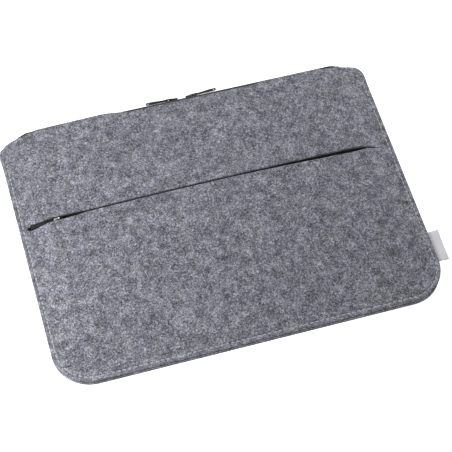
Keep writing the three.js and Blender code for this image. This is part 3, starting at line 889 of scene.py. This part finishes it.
def coil_wire(start, end, place):
    """Points of the flattened spiral that makes one row of zip teeth."""
    steps = 8
    turns = int((end - start) / COIL_PITCH)
    points = []
    for k in range(turns * steps + 1):
        angle = 2 * math.pi * k / steps
        x = start + (end - start) * k / (turns * steps)
        across = (COIL_WIDTH / 2 - COIL_WIRE) * (1 - math.cos(angle)) + COIL_WIRE
        out = COIL_HEIGHT / 2 + (COIL_HEIGHT / 2 - COIL_WIRE) * math.sin(angle)
        points.append(place(x, across, out))
    return points


def top_coils():
    for side, sign in (("back", -1.0), ("front", 1.0)):
        def place(x, across, out):
            return (x, CHAIN_Y + out - tuck(x), CHAIN_Z + sign * (COIL_CLOSED + across))
        verts, faces = tube(coil_wire(-CHAIN_END, CHAIN_END, place), COIL_WIRE, 6)
        make_object(f"top_{side}_teeth", verts, faces, NYLON_LOOK, "sleeve",
                    [f"top_zip_{side}_coil"])


def spread(x):
    """Inner edge of a pocket coil: closed left of the slider and apart to its right."""
    share = float(smoothstep((x - POCKET_PULL.x + SPREAD_BEFORE) / SPREAD_LENGTH))
    return COIL_CLOSED + (COIL_OPEN - COIL_CLOSED) * share


def pocket_zip():
    stations = np.linspace(-POCKET_TAPE_END, POCKET_TAPE_END, 169)
    plane = POCKET_PLANE - TAPE_UNDER
    sewn = -TAPE_UNDER
    for side, sign in (("lower", -1.0), ("upper", 1.0)):
        def section(x):
            rows = [(spread(x), plane), (POCKET_TAPE_EDGE, plane), (POCKET_TAPE_SEWN, sewn),
                    (spread(x) + POCKET_TAPE_WIDTH, sewn)]
            return [(SLIT_Y + sign * out, float(front_underside(x, SLIT_Y + sign * out)) + down)
                    for out, down in rows]

        def place_tape(x, p):
            return (x, p[0], p[1])

        def place_coil(x, across, out):
            y = SLIT_Y + sign * (spread(x) + across)
            return (x, y, float(front_underside(x, SLIT_Y)) + POCKET_PLANE + out)

        verts, faces = band(stations, section, TAPE, place_tape)
        tape = make_object(f"pocket_{side}_tape", verts, faces, TAPE_LOOK, "sleeve",
                           [f"pocket_zip_{side}_tape"])
        verts, faces = tube(coil_wire(-POCKET_CHAIN_END, POCKET_CHAIN_END, place_coil), COIL_WIRE, 6)
        make_object(f"pocket_{side}_teeth", verts, faces, NYLON_LOOK, "sleeve",
                    [f"pocket_zip_{side}_coil"])


# Cast and bent metal

def plate(loops, low, high, bevel):
    """A flat piece with rounded rims: outlines in a plane, holes after the first, between two levels."""
    curve = bpy.data.curves.new("plate", "CURVE")
    curve.dimensions = "2D"
    curve.fill_mode = "BOTH"
    curve.extrude = (high - low) / 2 - bevel
    curve.bevel_depth = bevel
    curve.bevel_resolution = 2
    curve.offset = -bevel
    for loop in loops:
        spline = curve.splines.new("POLY")
        spline.points.add(len(loop) - 1)
        for point, (x, y) in zip(spline.points, loop):
            point.co = (x, y, 0.0, 1.0)
        spline.use_cyclic_u = True
    holder = bpy.data.objects.new("plate", curve)
    bpy.context.collection.objects.link(holder)
    mesh = bpy.data.meshes.new_from_object(holder.evaluated_get(bpy.context.evaluated_depsgraph_get()))
    bpy.data.objects.remove(holder)
    verts = [(v.co.x, v.co.y, v.co.z + (low + high) / 2) for v in mesh.vertices]
    faces = [tuple(p.vertices) for p in mesh.polygons]
    bpy.data.meshes.remove(mesh)
    return verts, faces


def merged(parts):
    verts, faces = [], []
    for part_verts, part_faces in parts:
        faces += [tuple(i + len(verts) for i in face) for face in part_faces]
        verts += list(part_verts)
    return verts, faces


def metal_piece(name, parts, matrix, material, body, replaced, voxel=None):
    """A metal piece from plates, moved by the matrix; a cast one is fused and softened."""
    verts, faces = merged(parts)
    piece = make_object(name, verts, faces, material, body, replaced)
    mesh = piece.data
    weld = bpy.data.objects.new("weld", mesh)
    bpy.context.collection.objects.link(weld)
    join = weld.modifiers.new("join", "WELD")
    join.merge_threshold = 0.004 * MM
    if voxel:
        fuse = weld.modifiers.new("fuse", "REMESH")
        fuse.mode = "VOXEL"
        fuse.voxel_size = voxel * MM
        soften = weld.modifiers.new("soften", "SMOOTH")
        soften.factor = 0.5
        soften.iterations = 4
    done = bpy.data.meshes.new_from_object(weld.evaluated_get(bpy.context.evaluated_depsgraph_get()))
    bpy.data.objects.remove(weld)
    piece.data = done
    done.name = name
    done.transform(matrix)
    done.polygons.foreach_set("use_smooth", [True] * len(done.polygons))
    done.set_sharp_from_angle(angle=math.radians(50))


def turned(points, matrix):
    return [tuple((matrix @ Vector(p)).to_3d()) for p in points]


def slider_body(half):
    """Two plates that narrow to the tail, a neck between them and a lip along each wide side."""
    tail, front = SLIDER_TAIL, SLIDER_FRONT
    tail_half = half * SLIDER_TAIL_SHARE
    waist = front * SLIDER_WAIST_SHARE
    shoulder = front - SLIDER_CORNER
    side = [(tail, tail_half), (waist, half), (shoulder, half), (front - 0.5, half - 0.35),
            (front, half - 1.2)]
    plan = side + [(x, -y) for x, y in reversed(side)]
    inside = half - SLIDER_LIP
    lip_start = tail + (waist - tail) * (inside - tail_half) / (half - tail_half)
    wall = [(lip_start, inside), (waist, half), (shoulder, half), (shoulder, inside)]
    length, width = POST_HALF
    post = [(-length, width), (length, width), (length, -width), (-length, -width)]
    tip, full = NECK_START
    end = front - NECK_SETBACK
    neck = [(tip, 0.0), (full, NECK_HALF), (end, NECK_HALF), (end, -NECK_HALF), (full, -NECK_HALF)]
    return [
        plate([plan], *UPPER_PLATE),
        plate([plan], *UNDER_PLATE),
        plate([wall], *LIP_PLATE),
        plate([[(x, -y) for x, y in wall]], *LIP_PLATE),
        plate([neck], *NECK_PLATE),
        plate([post], *POST_PLATE),
    ]


def bail_arch():
    """A flat wire bent into a bridge over the slider, drawn lying down and turned upright."""
    half, wire, foot, crown = BAIL_HALF_LENGTH, BAIL_WIRE, BAIL_FOOT, BAIL_CROWN
    outer = [(half, foot), (half, crown - 1.1), (half - 0.32, crown - 0.32), (half - 1.1, crown)]
    inner_half, inner_crown = half - wire, crown - wire
    inner = [(inner_half, foot), (inner_half, inner_crown - 0.5), (inner_half - 0.15, inner_crown - 0.15),
             (inner_half - 0.5, inner_crown)]
    outline = outer + [(-x, z) for x, z in reversed(outer)] + [(-x, z) for x, z in inner]
    outline += list(reversed(inner))
    verts, faces = plate([outline], -BAIL_HALF_WIDTH, BAIL_HALF_WIDTH, 0.2)
    return [(turned(verts, Matrix.Rotation(math.pi / 2, 4, "X")), faces)]


def pull_tab():
    """A slim tab: a window for the bail at one end, a waist, and a round end with a hole."""
    length, half, waist = PULL_LENGTH, PULL_HALF, PULL_WAIST
    near, far = PULL_WINDOW
    side = [(-0.45, half - 0.3), (-0.2, half), (5.0, half), (5.9, half - 0.25), (7.0, waist), (11.0, waist),
            (15.0, 0.5 * (waist + half)), (length - 8.0, half)]
    end = [(length - half + half * math.cos(a), half * math.sin(a))
           for a in np.linspace(math.pi / 2, -math.pi / 2, 17)]
    outline = side + end + [(x, -y) for x, y in reversed(side)]
    window = [(near, -PULL_WINDOW_HALF), (far, -PULL_WINDOW_HALF), (far, PULL_WINDOW_HALF),
              (near, PULL_WINDOW_HALF)]
    hole = [(length - PULL_HOLE_INSET + PULL_HOLE_RADIUS * math.cos(a), PULL_HOLE_RADIUS * math.sin(a))
            for a in np.linspace(0, 2 * math.pi, 20, endpoint=False)]
    groove = [(8.0, -0.45), (20.0, -0.7), (20.6, 0.0), (20.0, 0.7), (8.0, 0.45), (7.6, 0.0)]
    tab = plate([outline, window, hole], -PULL_HALF_THICKNESS, PULL_HALF_THICKNESS, 0.22)
    return [tab, plate([groove], -0.58, 0.58, 0.07)]


def slider_set(name, nose, across, out, pull_place, half, tilt):
    """Body, bail and pull of one slider; nose, across and out are the slider's own axes in the frame."""
    axes = Matrix((nose, across, out)).transposed().to_4x4()
    origin = pull_place - Vector(out) * PULL_AXIS_HEIGHT
    place = Matrix.Translation(origin * MM) @ axes
    lean = Matrix.Rotation(math.radians(tilt), 4, "Y") @ Matrix.Rotation(math.pi, 4, "Z")
    pull_at = Matrix.Translation(pull_place * MM) @ axes @ lean
    metal_piece(f"{name}_slider_body", slider_body(half), place, PAINT_LOOK, f"{name}_runner",
                [f"{name}_slider"], voxel=CAST_VOXEL)
    metal_piece(f"{name}_bail", bail_arch(), place, NICKEL_LOOK, f"{name}_runner",
                [f"{name}_slider_bail"])
    metal_piece(f"{name}_pull_tab", pull_tab(), pull_at, PAINT_LOOK, f"{name}_tab",
                [f"{name}_pull"])


def sliders():
    slope = 2 * CROWN_LIFT * SIDE_SAG * -POCKET_PULL.x / SWELL_HALF ** 2
    along = Vector((1.0, 0.0, slope)).normalized()
    up = Vector((-slope, 0.0, 1.0)).normalized()
    slider_set("top_left", (1, 0, 0), (0, 0, -1), (0, 1, 0), TOP_LEFT_PULL, TOP_SLIDER_HALF,
               LEFT_PULL_TILT)
    slider_set("top_right", (-1, 0, 0), (0, 0, 1), (0, 1, 0), TOP_RIGHT_PULL, TOP_SLIDER_HALF,
               RIGHT_PULL_TILT)
    slider_set("pocket", along, (0, 1, 0), up, POCKET_PULL, POCKET_SLIDER_HALF, POCKET_PULL_TILT)


def stop(name, node):
    """A pressed metal clamp in the space of its CAD node."""
    low, high = cad_box(node)
    shift = tuck(low.x) if node.startswith("top") else 0.0
    verts, faces = plate([[(low.x, low.y), (high.x, low.y), (high.x, high.y), (low.x, high.y)]],
                         low.z, high.z, 0.28)
    matrix = Matrix.Translation(Vector((0.0, -shift, 0.0)) * MM)
    metal_piece(name, [(verts, faces)], matrix, NICKEL_LOOK, "sleeve", [node])


def stops():
    for name in ("top_zip_left_stop", "top_zip_right_stop", "pocket_zip_end_stop", "pocket_zip_lower_stop",
                 "pocket_zip_upper_stop"):
        stop(name.replace("_zip_", "_metal_"), name)


# Side label

LABEL_PLY = 0.26
LABEL_GAP = 0.2
LABEL_CURL = 1.5
LABEL_RIPPLE = 0.25


def side_label():
    """A woven tape folded in half, with both plies caught in the seam and the fold out at the side."""
    low, high = cad_box("side_label")
    middle = (low.z + high.z) / 2
    fold = (LABEL_PLY + LABEL_GAP) / 2
    stations = np.linspace(low.y + 0.1, high.y - 0.1, 41)

    def section(y):
        turn = [(high.x - fold + fold * math.sin(a) - LABEL_PLY / 2, middle + fold * math.cos(a))
                for a in np.linspace(0, math.pi, 9)]
        start = [(x, middle + fold) for x in np.linspace(low.x, turn[0][0] - 0.4, 12)]
        return start + turn + [(x, middle - fold) for x, z in reversed(start)]

    def place(y, p):
        out = max(p[0] - HALF_WIDTH, 0.0) / (high.x - HALF_WIDTH)
        lengthwise = (y - low.y) / (high.y - low.y)
        curl = LABEL_CURL * out ** 2 * (lengthwise - 0.35)
        curl += LABEL_RIPPLE * out * math.sin(lengthwise * 9.0)
        return (p[0], y, p[1] + curl)

    verts, faces = band(stations, section, LABEL_PLY, place)
    label = make_object("woven_tag", verts, faces, LABEL_LOOK, "sleeve", ["side_label"])


# Studio

def camera():
    azimuth, elevation = math.radians(CAMERA_AZIMUTH), math.radians(CAMERA_ELEVATION)
    roll = math.radians(CAMERA_ROLL)
    back = Vector((math.sin(azimuth) * math.cos(elevation), -math.cos(azimuth) * math.cos(elevation),
                   math.sin(elevation)))
    right = (-back).cross(Vector((0, 0, 1))).normalized()
    up = right.cross(-back)
    turned_right = right * math.cos(roll) + up * math.sin(roll)
    turned_up = up * math.cos(roll) - right * math.sin(roll)
    data = bpy.data.cameras.new("camera")
    data.lens = CAMERA_LENS
    data.clip_start = 0.05
    data.clip_end = 20.0
    eye = bpy.data.objects.new("camera", data)
    eye.matrix_world = Matrix.Translation((CAMERA_TARGET + back * CAMERA_DISTANCE) * MM) @ Matrix(
        (turned_right, turned_up, back)).transposed().to_4x4()
    bpy.context.collection.objects.link(eye)
    bpy.context.scene.camera = eye


def soft_light(name, place, size, power):
    """A square lamp that looks at the middle of the sleeve."""
    data = bpy.data.lights.new(name, "AREA")
    data.shape = "SQUARE"
    data.size = size
    data.energy = power
    lamp = bpy.data.objects.new(name, data)
    lamp.location = place
    lamp.rotation_mode = "QUATERNION"
    lamp.rotation_quaternion = (-Vector(place)).to_track_quat("-Z", "Y")
    bpy.context.collection.objects.link(lamp)


def studio():
    floor_look = Nodes("floor_paper")
    tone = floor_look.noise((0.01, 0.01, 0.01), detail=1.0)
    colour = floor_look.ramp(tone, [(0.3, (0.87, 0.87, 0.875)), (0.7, (0.88, 0.88, 0.885))])
    floor_look.link(colour, floor_look.shader.inputs["Base Color"])
    half = FLOOR_HALF
    mesh = bpy.data.meshes.new("floor")
    corners = [(-half, -half, 0), (half, -half, 0), (half, half, 0), (-half, half, 0)]
    mesh.from_pydata(corners, [], [(0, 1, 2, 3)])
    floor_look.shader.inputs["Emission Color"].default_value = (1.0, 1.0, 1.0, 1.0)
    mesh.materials.append(floor_look.finish(0.9, Specular_IOR_Level=0.1, Emission_Strength=FLOOR_GLOW))
    floor = bpy.data.objects.new("floor", mesh)
    bpy.context.collection.objects.link(floor)
    world = bpy.data.worlds.new("studio")
    world.use_nodes = True
    background = world.node_tree.nodes["Background"]
    background.inputs["Color"].default_value = (1.0, 1.0, 1.0, 1.0)
    background.inputs["Strength"].default_value = SKY_STRENGTH
    bpy.context.scene.world = world
    soft_light("key", *KEY_LIGHT)
    soft_light("fill", *FILL_LIGHT)
    bpy.context.scene.view_settings.view_transform = "Standard"


camera()
studio()
panels()
seams()

top_tapes()
top_coils()
pocket_zip()
sliders()
stops()
side_label()
